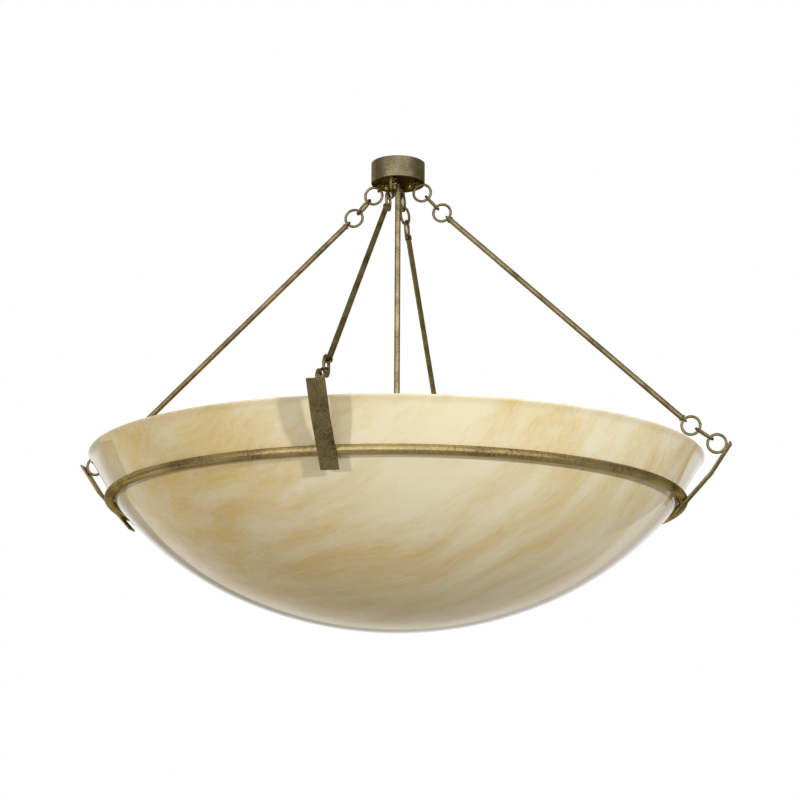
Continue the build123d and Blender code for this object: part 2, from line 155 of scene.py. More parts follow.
def solidsOf(node):      # the points of each closed solid in a CAD node
    shell = bmesh.new()
    shell.from_mesh(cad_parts[node].data)
    bmesh.ops.remove_doubles(shell, verts=shell.verts, dist=1e-6)
    shell.verts.index_update()
    seen, found = set(), []
    for first in shell.verts:
        if first.index in seen:
            continue
        seen.add(first.index)
        stack, group = [first], []
        while stack:
            vert = stack.pop()
            group.append(tuple(vert.co))
            for edge in vert.link_edges:
                other = edge.other_vert(vert)
                if other.index not in seen:
                    seen.add(other.index)
                    stack.append(other)
        found.append(np.array(group))
    shell.free()
    return sorted(found, key=lambda points: -points[:, 2].mean())


def axesOf(points):      # centre, long axis and flat axis of a ring or link
    middle = points.mean(0)
    axes = np.linalg.svd(points - middle, full_matrices=False)[2]
    local = (points - middle) @ axes.T
    middle = middle + (local.max(0) + local.min(0)) / 2 @ axes
    longAxis, flatAxis = Vector(axes[0]), Vector(axes[2])
    if longAxis.z < 0:
        longAxis.negate()
    return Vector(middle), longAxis, flatAxis


def unevenness(*place):      # smooth noise between 0 and 1
    return 0.5 + 0.5 * noise.noise(Vector(place))


# In every dictionary lengths are in metres, angles are in degrees unless a comment says otherwise, and four
# numbers are a MapRange's from low, from high, to low and to high.

# brass: cast, bent and rolled, then darkened with liver of sulphur and rubbed back
# the deep shade colour is painted shade, laid on faces that look down
patina = {"dark": "#6B6047", "mid": "#958861", "bright": "#B2A47C", "rubbed": "#CDB67C", "shade": "#221D13",
          "glint": "#A9A38C", "cloud": 0.045, "grain": 0.004, "pit": 0.0022, "edge": 0.0014,
          "grainShare": 0.42, "stops": (0.36, 0.50, 0.66), "pits": (0.28, 0.38, 0.55, 0.0),
          "wear": (0.95, 0.80, 0.0, 0.85), "facingDown": (-0.9, -0.5), "under": 0.0,
          "polish": (0.35, 0.65, 0.42, 0.30), "relief": 0.00008, "reliefShare": 0.3}


def makeBrass(name, look):
    # cloudy olive patina with dark pits, brighter where a hand or cloth rubs the edges, and painted shade on
    # faces that look down
    material, tree, shader = startMaterial(name, {"Metallic": 1.0, "Specular Tint": hexLinear(look["glint"])})
    spot = addNode(tree, "TexCoord").outputs["Object"]
    cloud = addNode(tree, "TexNoise", {"Vector": spot, "Scale": 1 / look["cloud"], "Detail": 3.0}).outputs[0]
    grain = addNode(tree, "TexNoise", {"Vector": spot, "Scale": 1 / look["grain"], "Detail": 4.0}).outputs[0]
    pit = addNode(tree, "TexNoise", {"Vector": spot, "Scale": 1 / look["pit"], "Detail": 2.0}).outputs[0]
    tone = addNode(tree, "Mix", {0: look["grainShare"], 2: cloud, 3: grain}).outputs[0]
    colour = addNode(tree, "ValToRGB", {0: tone},
                     stops=list(zip(look["stops"], (look["dark"], look["mid"], look["bright"]))))
    pits = addNode(tree, "MapRange", {0: pit, **span(*look["pits"])}).outputs[0]
    soft = addNode(tree, "Bevel", {"Radius": look["edge"]}, samples=4).outputs[0]
    flat = addNode(tree, "NewGeometry").outputs["Normal"]
    turned = addNode(tree, "VectorMath", {0: soft, 1: flat}, operation="DOT_PRODUCT").outputs["Value"]
    edge = addNode(tree, "MapRange", {0: turned, **span(*look["wear"])}).outputs[0]
    worn = addNode(tree, "Math", {0: edge, 1: grain}, operation="MULTIPLY", use_clamp=True).outputs[0]
    rubbed = addNode(tree, "Mix", {0: worn, 6: colour.outputs[0], 7: hexLinear(look["rubbed"])},
                     data_type="RGBA").outputs[2]
    final = addNode(tree, "Mix", {0: pits, 6: rubbed, 7: hexLinear(look["dark"])},
                    data_type="RGBA").outputs[2]
    if look["under"]:      # painted shade: a face that looks down is darkened towards the deep shade colour
        facing = addNode(tree, "SeparateXYZ", {0: flat}).outputs[2]
        below = addNode(tree, "MapRange", {0: facing, **span(*look["facingDown"], look["under"], 0.0)})
        final = addNode(tree, "Mix", {0: below.outputs[0], 6: final, 7: hexLinear(look["shade"])},
                        data_type="RGBA").outputs[2]
    rough = addNode(tree, "MapRange", {0: tone, **span(*look["polish"])})
    relief = addNode(tree, "Bump", {"Height": tone, "Strength": look["reliefShare"],
                                    "Distance": look["relief"]})
    tree.links.new(final, shader.inputs["Base Color"])
    tree.links.new(rough.outputs[0], shader.inputs["Roughness"])
    tree.links.new(relief.outputs[0], shader.inputs["Normal"])
    return material


brass = makeBrass("antiqueBrass", patina)
strapBrass = makeBrass("rolledStrapBrass", {
    **patina, "dark": "#655A3F", "mid": "#96865E", "bright": "#B3A27A"})
hoopBrass = makeBrass("bentHoopBrass", {
    **patina, "dark": "#74664A", "mid": "#BFAA76", "bright": "#DCC894", "cloud": 0.12, "grain": 0.005})
# the canopy darkens its downward faces with painted shade
canopyBrass = makeBrass("spunCanopyBrass", {
    **patina, "dark": "#746A50", "mid": "#938767", "cloud": 0.05, "under": 0.72})
stemBrass = makeBrass("drawnStemBrass", {
    **patina, "dark": "#857A5B", "mid": "#B3A479", "bright": "#CDBE95"})
capBrass = makeBrass("rubbedCapNutBrass", {
    **patina, "dark": "#8F8260", "mid": "#B5A67E", "bright": "#D2C498"})

# alabaster: a veined calcium stone, turned, ground and wax polished
stone = {"cream": "#EDE7CC", "pale": "#F0ECDB", "amber": "#DEC684", "wisp": "#D6BC76", "ior": 1.52,
         "roughness": 0.06, "glow": 0.12, "glowReach": (0.9, 0.6, 0.35), "glowDepth": 0.012,
         "grainRun": (0.866, -0.225, 0.40), "drift": 0.40, "driftReach": 0.16, "cloud": 0.30,
         # each vein's size along and across the grain, its detail and its roughness
         "veins": {"band": ((0.36, 0.062, 0.062), 4.0, 0.5), "wisp": ((0.10, 0.010, 0.010), 5.0, 0.6),
                   "streak": ((0.05, 0.006, 0.006), 3.0, 0.5)},
         "paler": (0.45, 0.68, 0.0, 0.8), "streakShare": 0.22, "bandDepth": (0.40, 0.80, 0.0, 0.95),
         "wispDepth": (0.47, 0.78, 0.0, 0.55), "wispByBand": (0.42, 0.66, 0.15, 1.0),
         # each patch's place, reach and depth: amber stains, partly painted shade on the lower bowl; where a
         # depth is below zero the patch is paler, and that is painted light
         "stainsPaintedShadeAndLight": [(-0.33, -0.58, -0.80, 0.34, 0.13), (-0.50, -0.42, -0.80, 0.26, 0.12),
                    (-0.28, -0.42, -0.95, 0.36, 0.13), (-0.16, -0.62, -0.76, 0.20, 0.08),
                    (0.02, -0.34, -1.03, 0.30, 0.10), (-0.22, -0.22, -1.05, 0.24, 0.10),
                    (0.45, -0.36, -0.86, 0.16, 0.09), (0.57, -0.20, -0.86, 0.14, 0.10),
                    (0.52, -0.42, -0.75, 0.18, -0.10), (0.14, -0.60, -0.84, 0.20, -0.12),
                    (0.34, -0.46, -0.88, 0.16, -0.05)]}


def makeAlabaster(look):
    # milky depth under a waxed polish: long soft amber bands, thin wisps and pale clouds that run one way
    material, tree, shader = startMaterial("waxedAlabaster", {
        "Roughness": look["roughness"], "IOR": look["ior"], "Subsurface Weight": look["glow"],
        "Subsurface Radius": look["glowReach"], "Subsurface Scale": look["glowDepth"]})
    spot = addNode(tree, "TexCoord").outputs["Object"]
    drift = addNode(tree, "TexNoise", {"Vector": spot, "Scale": 1 / look["drift"], "Detail": 2.0})
    centred = addNode(tree, "VectorMath", {0: drift.outputs[1], 1: (0.5, 0.5, 0.5)}, operation="SUBTRACT")
    pushed = addNode(tree, "VectorMath", {0: centred.outputs[0], 3: look["driftReach"]}, operation="SCALE")
    bent = addNode(tree, "VectorMath", {0: spot, 1: pushed.outputs[0]}, operation="ADD").outputs[0]
    lay = Vector(look["grainRun"]).to_track_quat("X", "Z").to_euler()
    vein = {}
    for name, (size, detail, roughness) in look["veins"].items():
        laid = addNode(tree, "Mapping", {0: bent, 2: lay, 3: size}, vector_type="TEXTURE").outputs[0]
        vein[name] = addNode(tree, "TexNoise", {"Vector": laid, "Scale": 1.0, "Detail": detail,
                                                "Roughness": roughness}).outputs[0]
    cloud = addNode(tree, "TexNoise", {"Vector": bent, "Scale": 1 / look["cloud"], "Detail": 3.0}).outputs[0]
    paler = addNode(tree, "MapRange", {0: cloud, **span(*look["paler"])}).outputs[0]
    milk = addNode(tree, "Mix", {0: paler, 6: hexLinear(look["cream"]), 7: hexLinear(look["pale"])},
                   data_type="RGBA").outputs[2]
    stainPaintedShadeAndLight = 0.0      # iron stains and painted shade, each a soft place where the bands are deeper; a paler one is painted light
    for x, y, z, reach, depth in look["stainsPaintedShadeAndLight"]:
        gap = addNode(tree, "VectorMath", {0: bent, 1: (x, y, z)}, operation="DISTANCE").outputs["Value"]
        near = addNode(tree, "MapRange", {0: gap, **span(0.0, reach, depth, 0.0)},
                       interpolation_type="SMOOTHSTEP").outputs[0]
        stainPaintedShadeAndLight = addNode(tree, "Math", {0: near, 1: stainPaintedShadeAndLight}, operation="ADD").outputs[0]
    layered = addNode(tree, "Mix", {0: look["streakShare"], 2: vein["band"], 3: vein["streak"]}).outputs[0]
    deep = addNode(tree, "Math", {0: layered, 1: stainPaintedShadeAndLight}, operation="ADD").outputs[0]
    bandShare = addNode(tree, "MapRange", {0: deep, **span(*look["bandDepth"])}).outputs[0]
    stained = addNode(tree, "Mix", {0: bandShare, 6: milk, 7: hexLinear(look["amber"])},
                      data_type="RGBA").outputs[2]
    wispShare = addNode(tree, "MapRange", {0: vein["wisp"], **span(*look["wispDepth"])}).outputs[0]
    nearBand = addNode(tree, "MapRange", {0: deep, **span(*look["wispByBand"])}).outputs[0]
    wispHere = addNode(tree, "Math", {0: wispShare, 1: nearBand}, operation="MULTIPLY").outputs[0]
    final = addNode(tree, "Mix", {0: wispHere, 6: stained, 7: hexLinear(look["wisp"])}, data_type="RGBA")
    tree.links.new(final.outputs[2], shader.inputs["Base Color"])
    return material


alabaster = makeAlabaster(stone)

# small finishes: sharp glints on white porcelain, satin grey zinc, milky glass and warm bright nickel
plain = {"stops": (0.35, 0.60), "relief": 0.0001, "reliefShare": 0.2}


def makePlain(name, code, values, mottle, size):
    # faint cloudiness of the ground colour, so the surface doesn't look printed
    material, tree, shader = startMaterial(name, values)
    spot = addNode(tree, "TexCoord").outputs["Object"]
    cloud = addNode(tree, "TexNoise", {"Vector": spot, "Scale": 1 / size, "Detail": 3.0}).outputs[0]
    colour = addNode(tree, "ValToRGB", {0: cloud}, stops=list(zip(plain["stops"], (mottle, code))))
    relief = addNode(tree, "Bump", {"Height": cloud, "Strength": plain["reliefShare"],
                                    "Distance": plain["relief"]})
    tree.links.new(colour.outputs[0], shader.inputs["Base Color"])
    tree.links.new(relief.outputs[0], shader.inputs["Normal"])
    return material


porcelain = makePlain("glazedPorcelain", "#ECE8DE", {"Roughness": 0.12, "IOR": 1.5}, "#E2DCCD", 0.012)
zinc = makePlain("zincPlatedSteel", "#A9A9A4", {"Metallic": 1.0, "Roughness": 0.34}, "#8B8C88", 0.003)
opal = makePlain("opalLampGlass", "#F2EDE2", {"Roughness": 0.16, "IOR": 1.5}, "#EBE5D6", 0.02)
nickel = makePlain("nickelLampCap", "#C8C1AC", {"Metallic": 1.0, "Roughness": 0.28}, "#A79F88", 0.004)
print("materials: brass, alabaster, porcelain, zinc, opal glass, nickel")

# finishes of the CAD nodes, which keep their shape; a node that isn't named is brass
zincNodes = ["mounting_crossbar", "ground_screw", "canopy_studs", "canopy_eye_nuts", "stem_nipple",
             "nipple_lock_nuts", "stem_lock_nut"]
finishes = {**dict.fromkeys(zincNodes, zinc), "lamp_sockets": porcelain, "canopy": canopyBrass,
            "canopy_cap_nuts": capBrass, "stem": stemBrass, "stem_collar": stemBrass}
for name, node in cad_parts.items():
    node.data.materials.clear()
    node.data.materials.append(finishes.get(name, brass))

# bowl: the profile of the turned stone, rim to foot and back inside; knuckle and side are (radius, turn) of
# the two arcs below the cone, and a last arc closes the foot
bowl = {"rimRadius": 0.698, "rimLevel": -0.7238, "wall": 0.008, "lip": 0.0025, "cone": 31.05,
        "coneDepth": 0.100, "knuckle": (0.116, 10.5), "side": (0.759, 24.7), "segments": 384,
        "coneSteps": 12, "arcSteps": (10, 46, 70), "lipSteps": 6}


def bowlLine(inset):
    lean, coneSteps = radians(bowl["cone"]), bowl["coneSteps"]
    spots = [(bowl["rimRadius"] - inset / cos(lean), bowl["rimLevel"])]
    here = (bowl["rimRadius"] - bowl["coneDepth"] * tan(lean) - cos(lean) * inset,
            bowl["rimLevel"] - bowl["coneDepth"] + sin(lean) * inset)
    spots += [tuple(a + (b - a) * k / coneSteps for a, b in zip(spots[0], here))
              for k in range(1, coneSteps + 1)]
    angle = bowl["cone"]
    for steps, arc in zip(bowl["arcSteps"], [bowl["knuckle"], bowl["side"], None]):
        radius, turn = (arc[0] - inset, arc[1]) if arc else (here[0] / cos(radians(angle)), 90.0 - angle)
        middle = (here[0] - cos(radians(angle)) * radius, here[1] + sin(radians(angle)) * radius)
        for k in range(1, steps + 1):
            heading = radians(angle + turn * k / steps)
            spots.append((middle[0] + cos(heading) * radius, middle[1] - sin(heading) * radius))
        here, angle = spots[-1], angle + turn
    spots[-1] = (0.0, spots[-1][1])
    return spots


def roundedLip(outer, inner):      # two small arcs between the wall's faces
    size, steps = bowl["lip"], bowl["lipSteps"]
    spots = []
    for start, side in ((inner[0], 1), (outer[0], -1)):
        reach = size * tan(radians(45 + side * bowl["cone"] / 2))
        centre = Vector(start) + Vector((side * reach, -size))
        first, last = (180.0 - bowl["cone"], 90.0) if side == 1 else (90.0, -bowl["cone"])
        for k in range(steps + 1):
            heading = radians(first + (last - first) * k / steps)
            spots.append((centre[0] + cos(heading) * size, centre[1] + sin(heading) * size))
    return spots


outerLine, innerLine = bowlLine(0.0), bowlLine(bowl["wall"])
bowlLoop = outerLine[1:] + innerLine[:0:-1] + roundedLip(outerLine, innerLine)
addPiece("alabaster_bowl", lathe(bowlLoop, bowl["segments"]), alabaster, "bowl", ["bowl"],
         sharp=60.0)
print("bowl: turned")

# hoop: round tube rolled to a circle and welded once, behind; weldAt and weldSpread are shares of its turn
hoop = {"tube": 0.010, "level": -0.8242, "standOff": 0.0003, "weldAt": 0.31, "weldRise": 0.00028,
        "weldSpread": 0.0012, "segments": 480, "around": 28, "wander": 0.00012, "wanderCount": 160}
hoop["radius"] = (bowl["rimRadius"] - (bowl["rimLevel"] - hoop["level"]) * tan(radians(bowl["cone"]))
                  + (hoop["tube"] + hoop["standOff"]) / cos(radians(bowl["cone"])))
hoopPath = [Vector((hoop["radius"] * cos(2 * pi * k / hoop["segments"]),
                    hoop["radius"] * sin(2 * pi * k / hoop["segments"]), hoop["level"]))
            for k in range(hoop["segments"])]


def hoopSize(share):
    weldBead = hoop["weldRise"] * exp(-((share - hoop["weldAt"]) / hoop["weldSpread"]) ** 2)
    return hoop["tube"] - hoop["wander"] * unevenness(share * hoop["wanderCount"], 0, 0) + weldBead


addPiece("hoop_tube", tube(hoopPath, upAxis, hoopSize, True, hoop["around"]), hoopBrass, "hoop_frame",
         ["hoop"])

# straps: sheared flat bar, bent a little and welded outside the hoop
strap = {"width": 0.0381, "thick": 0.004, "lower": 42.5, "upper": 34.0, "tail": 0.039, "toBend": 0.083,
         "aboveBend": 0.080, "bendLength": 0.012, "edge": 0.0006, "leastEdge": 0.0001, "cornerSteps": 3,
         "columns": 9, "bite": 0.0004, "step": 0.004, "hammer": 0.00022, "hammerCount": 90,
         "faceSlack": 0.00001, "seedStep": 7.3}
# bead is a weld's least size and its swell, taper how fast it grows from its ends and the size there, as shares
weld = {"bead": (0.80, 0.28), "taper": (6, 0.3), "around": 10,
        "hoopSize": 0.0019, "hoopBeads": 9, "hoopSpread": 33.0, "hoopLift": 0.0002, "hoopShort": 0.0016,
        "hoopSteps": 30, "lugSize": 0.0015, "lugBeads": 4, "lugAside": 0.0026, "lugLift": 0.0008,
        "lugHalf": 0.006, "lugSteps": 20}
lugDrops = {"east": 0.0178, "north": 0.0178, "west": 0.0178, "south": 0.015}


def strapCentre():
    low, high = radians(strap["lower"]), radians(strap["upper"])
    stand = hoop["tube"] + strap["thick"] / 2 - strap["bite"]
    touch = Vector((hoop["radius"] + stand * cos(low), 0, hoop["level"] - stand * sin(low)))
    lowRun, highRun = Vector((sin(low), 0, cos(low))), Vector((sin(high), 0, cos(high)))
    bend = touch + lowRun * strap["toBend"]
    return touch - lowRun * strap["tail"], bend, bend + highRun * strap["aboveBend"], lowRun, highRun


def strapSection(inset):      # (across, through) points round the bar, with small rounded corners
    half, deep = strap["width"] / 2 - inset, strap["thick"] / 2 - inset
    size, columns = max(strap["edge"] - inset, strap["leastEdge"]), strap["columns"]
    spots = []
    for sx, sy, first in ((1, 1, 0), (-1, 1, 90), (-1, -1, 180), (1, -1, 270)):
        for k in range(strap["cornerSteps"] + 1):
            turn = radians(first + 90 * k / strap["cornerSteps"])
            spots.append((sx * (half - size) + size * cos(turn), sy * (deep - size) + size * sin(turn)))
        if sx * sy == 1:      # the two wide faces get columns, for the slight hammering
            spots += [(sx * (half - size) * (1 - 2 * c / columns), sy * deep) for c in range(1, columns)]
    return spots


def makeStrap(turn, seed):
    foot, bend, top, lowRun, highRun = strapCentre()
    spin = Matrix.Rotation(radians(turn), 4, "Z")
    stations = []
    for start, end in ((foot, bend), (bend, top)):
        count = int((end - start).length / strap["step"])
        stations += [start.lerp(end, k / count) for k in range(count)]
    rows = [(foot, strap["edge"]), (foot + lowRun * strap["edge"], 0.0)]
    rows += [(spot, 0.0) for spot in stations[1:]]
    rows += [(top - highRun * strap["edge"], 0.0), (top, strap["edge"])]
    lowOut, highOut = Vector((lowRun.z, 0, -lowRun.x)), Vector((highRun.z, 0, -highRun.x))
    points = []
    for spot, inset in rows:
        share = min(max((spot - bend).dot(highRun) / strap["bendLength"] + 0.5, 0.0), 1.0)
        through = lowOut.lerp(highOut, share).normalized()
        for across, deep in strapSection(inset):
            dents = across * strap["hammerCount"], spot.z * strap["hammerCount"]
            dent = strap["hammer"] * unevenness(*dents, seed)
            onFace = abs(deep) > strap["thick"] / 2 - strap["faceSlack"]
            depth = deep - (dent if deep > 0 else -dent) * onFace
            points.append(spin @ (spot + Vector((0, across, 0)) + through * depth))
    return points, skin(len(rows), len(points) // len(rows), False)


def ripple(size, beads):      # the overlapping coins of a hand-run weld, thin at both ends
    least, swell = weld["bead"]
    rate, tip = weld["taper"]

    def radius(share):
        ends = min(1.0, rate * share + tip, rate + tip - rate * share)
        return size * (least + swell * abs(sin(pi * beads * share))) * ends
    return radius


def strapWelds(turn, drop):
    _, _, top, _, highRun = strapCentre()
    spin = Matrix.Rotation(radians(turn), 4, "Z")
    shells = []
    half, steps = strap["width"] / 2 - weld["hoopShort"], weld["hoopSteps"]
    reach = hoop["tube"] + weld["hoopLift"]
    for side in (1, -1):      # above and below the line where the hoop touches the strap
        heading = radians(-strap["lower"] + side * weld["hoopSpread"])
        radius, level = hoop["radius"] + reach * cos(heading), hoop["level"] + reach * sin(heading)
        swings = [(-half + 2 * half * k / steps) / hoop["radius"] for k in range(steps + 1)]
        path = [spin @ Vector((radius * cos(swing), radius * sin(swing), level)) for swing in swings]
        shells.append(tube(path, upAxis, ripple(weld["hoopSize"], weld["hoopBeads"]), False, weld["around"]))
    inward = Vector((-highRun.z, 0, highRun.x))
    place = top - highRun * drop + inward * (strap["thick"] / 2 + weld["lugLift"])
    half, steps = weld["lugHalf"], weld["lugSteps"]
    for side in (1, -1):      # both sides of the lug ring's wire
        beside = place + Vector((0, side * weld["lugAside"], 0))
        path = [spin @ (beside + highRun * (-half + 2 * half * k / steps)) for k in range(steps + 1)]
        shells.append(tube(path, spin @ inward, ripple(weld["lugSize"], weld["lugBeads"]), False,
                           weld["around"]))
    return joinShells(shells)


for seed, (arm, turn) in enumerate(armTurns.items()):
    addPiece(f"strap_bar_{arm}", makeStrap(turn, strap["seedStep"] * seed), strapBrass, "hoop_frame",
             [f"strap_{arm}"], sharp=30.0)
    addPiece(f"strap_welds_{arm}", strapWelds(turn, lugDrops[arm]), brass, "hoop_frame",
             sharp=60.0)
print("hoop, straps and welds: made")

# rings and oval links: round wire bent to shape and butt welded; seams are shares of the turn
wire = {"radius": 0.003175, "ring": 0.0206, "seam": 0.11, "seamSpread": 0.020, "ringSteps": 96,
        "linkHalf": 0.021575, "linkWide": 0.009825, "linkEnd": 0.007, "flankSteps": 16, "noseSteps": 18,
        "firstSeam": 0.22, "nextSeam": 0.31, "lugSeam": 0.62}


def wireSize(seamAt):
    def size(share):
        away = min(abs(share - seamAt), 1 - abs(share - seamAt))
        return wire["radius"] * (1 + wire["seam"] * exp(-(away / wire["seamSpread"]) ** 2))
    return size


def ringShell(points, seamAt):
    middle, _, flatAxis = axesOf(points)
    first = (upAxis - flatAxis * upAxis.dot(flatAxis)).normalized()
    second = flatAxis.cross(first)
    steps = wire["ringSteps"]
    path = [middle + (first * cos(2 * pi * k / steps) + second * sin(2 * pi * k / steps)) * wire["ring"]
            for k in range(steps)]
    return tube(path, flatAxis, wireSize(seamAt), True)


def linkShell(points, seamAt):
    middle, longAxis, flatAxis = axesOf(points)
    wide = flatAxis.cross(longAxis)
    shoulder = wire["linkHalf"] - wire["linkEnd"]
    flank = ((shoulder ** 2 + wire["linkWide"] ** 2 - wire["linkEnd"] ** 2)
             / (2 * (wire["linkWide"] - wire["linkEnd"])))
    lift = flank - wire["linkWide"]
    half = atan2(shoulder, lift)
    swings = [-half + 2 * half * k / wire["flankSteps"] for k in range(wire["flankSteps"])]
    bends = [half + (pi - 2 * half) * k / wire["noseSteps"] for k in range(wire["noseSteps"])]
    loop = [(flank * sin(swing), flank * cos(swing) - lift) for swing in swings]
    loop += [(shoulder + wire["linkEnd"] * sin(bend), wire["linkEnd"] * cos(bend)) for bend in bends]
    loop += [(-x, -y) for x, y in loop]
    path = [middle + longAxis * x + wide * y for x, y in loop]
    return tube(path, flatAxis, wireSize(seamAt), True)


for arm in armTurns:
    for node, maker in ((f"{arm}_upper_rings", ringShell), (f"{arm}_lower_ring", ringShell),
                        (f"{arm}_oval_links", linkShell)):
        shells = [maker(points, wire["firstSeam"] + wire["nextSeam"] * k)
                  for k, points in enumerate(solidsOf(node))]
        addPiece(node + "_wire", joinShells(shells), brass, f"arm_{arm}", [node],
                 sharp=60.0)
    lugNode = f"lug_ring_{arm}"
    lug = [ringShell(points, wire["lugSeam"]) for points in solidsOf(lugNode)]
    addPiece(lugNode + "_wire", joinShells(lug), brass, "hoop_frame", [lugNode],
             sharp=60.0)
print("rings and links: bent and welded")

# lamps: opal envelopes on screwed caps; foot and neck are measured out from the cluster's side
lamp = {"count": 6, "tilt": 10.0, "first": 30.0, "wall": 0.044, "level": -0.8548, "foot": 0.0614,
        "neck": 0.0884, "neckRadius": 0.0145, "neckEdge": 0.0015, "globe": 0.030, "length": 0.110,
        "neckSteps": 12, "globeSteps": 24, "around": 64}
cap = {"contact": ((0.0, 0.0), (0.0045, 0.0), (0.0050, 0.0015), (0.0105, 0.0040)),      # radius, height
       "radius": 0.0129, "root": 0.0120, "rootFrom": 0.0050, "flare": (0.0015, 0.0010), "around": 48,
       "pitch": 0.00363, "crest": 0.00085, "threadFrom": 0.0062, "threadShort": 0.0085, "threadSteps": 36,
       "threadAround": 8}


def lampPlace(index):
    spin = Matrix.Rotation(radians(lamp["first"] + 360 / lamp["count"] * index), 4, "Z")
    outward = Matrix.Rotation(radians(90 - lamp["tilt"]), 4, "Y")
    return spin @ Matrix.Translation((lamp["wall"], 0, lamp["level"])) @ outward


def envelope():
    neck, throat, globe = lamp["neck"], lamp["neckRadius"], lamp["globe"]
    middle = lamp["foot"] + lamp["length"] - globe
    reach = middle - neck
    lean = atan2(throat, reach) - np.arcsin(globe / hypot(reach, throat))
    joinAt = (globe * cos(lean), middle + globe * sin(lean))
    shoulder = neck + lamp["neckEdge"]
    spots = [(0.0, neck), (throat - lamp["neckEdge"], neck), (throat, shoulder)]
    steps = lamp["neckSteps"]
    spots += [(throat + (joinAt[0] - throat) * k / steps, shoulder + (joinAt[1] - shoulder) * k / steps)
              for k in range(1, steps)]
    steps = lamp["globeSteps"]
    for k in range(steps + 1):
        heading = lean + (pi / 2 - lean) * k / steps
        spots.append((max(globe * cos(heading), 0.0), middle + globe * sin(heading)))
    spots[-1] = (0.0, spots[-1][1])
    return spots


def screwCap(place):
    foot, neck, root, steps = lamp["foot"], lamp["neck"], cap["root"], cap["threadSteps"]
    core = [(radius, foot + height) for radius, height in cap["contact"]]
    core += [(root, foot + cap["rootFrom"]), (root, neck - cap["flare"][0]),
             (cap["radius"], neck - cap["flare"][1]), (cap["radius"], neck), (0.0, neck)]
    turns = int((neck - foot - cap["threadShort"]) / cap["pitch"])
    path = []
    for k in range(turns * steps + 1):
        swing = 2 * pi * k / steps
        height = foot + cap["threadFrom"] + cap["pitch"] * k / steps
        path.append(place @ Vector((root * cos(swing), root * sin(swing), height)))
    thread = tube(path, place.to_3x3() @ upAxis, lambda share: cap["crest"], False, cap["threadAround"])
    return joinShells([lathe(core, cap["around"], place), thread])


for index in range(lamp["count"]):
    place, name, body = lampPlace(index), f"lamp_{index + 1}", f"lamp_{index + 1}_body"
    addPiece(name + "_envelope", lathe(envelope(), lamp["around"], place), opal, body, [name])
    addPiece(name + "_cap", screwCap(place), nickel, body)
print("lamps: made")

# floor, far below: pale, and fading to white with distance for the camera. What metal and polish mirror of it
# is a sweep of white paper, brightest in front, where the hoop looks
floorLook = {"level": -3.9, "radius": 16.0, "segments": 96, "colour": "#B8AF9D", "roughness": 0.9,
             "white": "#FFFFFF", "mirrorWhite": "#FFF9EE", "fade": (2.5, 8.0, 0.55, 1.0), "dim": 0.36,
             "sweepEdges": [((1.100, -0.364), 1.05), ((-0.810, -1.000), 5.18)], "sweepSoft": 0.25,
             "paper": (3.0, 10.0, 0.40, 1.0), "front": (0.2079, -0.9781, 0), "frontFrom": 5.5,
             "frontTo": 9.0, "frontWhite": 2.0}
floorMaterial, tree, shader = startMaterial("paleFloor", {
    "Roughness": floorLook["roughness"], "Base Color": hexLinear(floorLook["colour"])})
spot = addNode(tree, "TexCoord").outputs["Object"]
ray = addNode(tree, "LightPath")
away = addNode(tree, "VectorMath", {0: spot}, operation="LENGTH").outputs["Value"]
fade = addNode(tree, "MapRange", {0: away, **span(*floorLook["fade"])})
seen = addNode(tree, "Math", {0: fade.outputs[0], 1: ray.outputs["Is Camera Ray"]}, operation="MULTIPLY")
glow = addNode(tree, "Emission", {"Color": hexLinear(floorLook["white"]), "Strength": 1.0})
mixed = addNode(tree, "MixShader", {0: seen.outputs[0], 1: shader.outputs[0], 2: glow.outputs[0]})
sweep = 1.0      # the white paper sweep lies between two slanting edges
for (x, y), reach in floorLook["sweepEdges"]:
    past = addNode(tree, "VectorMath", {0: spot, 1: (x, y, 0)}, operation="DOT_PRODUCT").outputs["Value"]
    side = addNode(tree, "MapRange", {0: past, **span(reach, reach + floorLook["sweepSoft"], 1.0, 0.0)})
    sweep = addNode(tree, "Math", {0: side.outputs[0], 1: sweep}, operation="MULTIPLY").outputs[0]
paper = addNode(tree, "MapRange", {0: away, **span(*floorLook["paper"])}).outputs[0]
bounce = addNode(tree, "MapRange", {0: sweep, **span(0.0, 1.0, floorLook["dim"], paper)}).outputs[0]
ahead = addNode(tree, "VectorMath", {0: spot, 1: floorLook["front"]}, operation="DOT_PRODUCT")
bounce = addNode(tree, "MapRange", {0: ahead.outputs["Value"], **span(
    floorLook["frontFrom"], floorLook["frontTo"], bounce, floorLook["frontWhite"])}).outputs[0]
mirrorGlow = addNode(tree, "Emission", {"Color": hexLinear(floorLook["mirrorWhite"]), "Strength": bounce})
mixed = addNode(tree, "MixShader", {0: ray.outputs["Is Glossy Ray"], 1: mixed.outputs[0],
                                    2: mirrorGlow.outputs[0]})
floorOut = next(node for node in tree.nodes if node.type == "OUTPUT_MATERIAL")
tree.links.new(mixed.outputs[0], floorOut.inputs["Surface"])
disc = bmesh.new()
bmesh.ops.create_circle(disc, cap_ends=True, segments=floorLook["segments"], radius=floorLook["radius"])
floorMesh = bpy.data.meshes.new("floor")
disc.to_mesh(floorMesh)
disc.free()
floorMesh.materials.append(floorMaterial)
floor = bpy.data.objects.new("floor", floorMesh)
floor.location = (0, 0, floorLook["level"])
bpy.context.scene.collection.objects.link(floor)
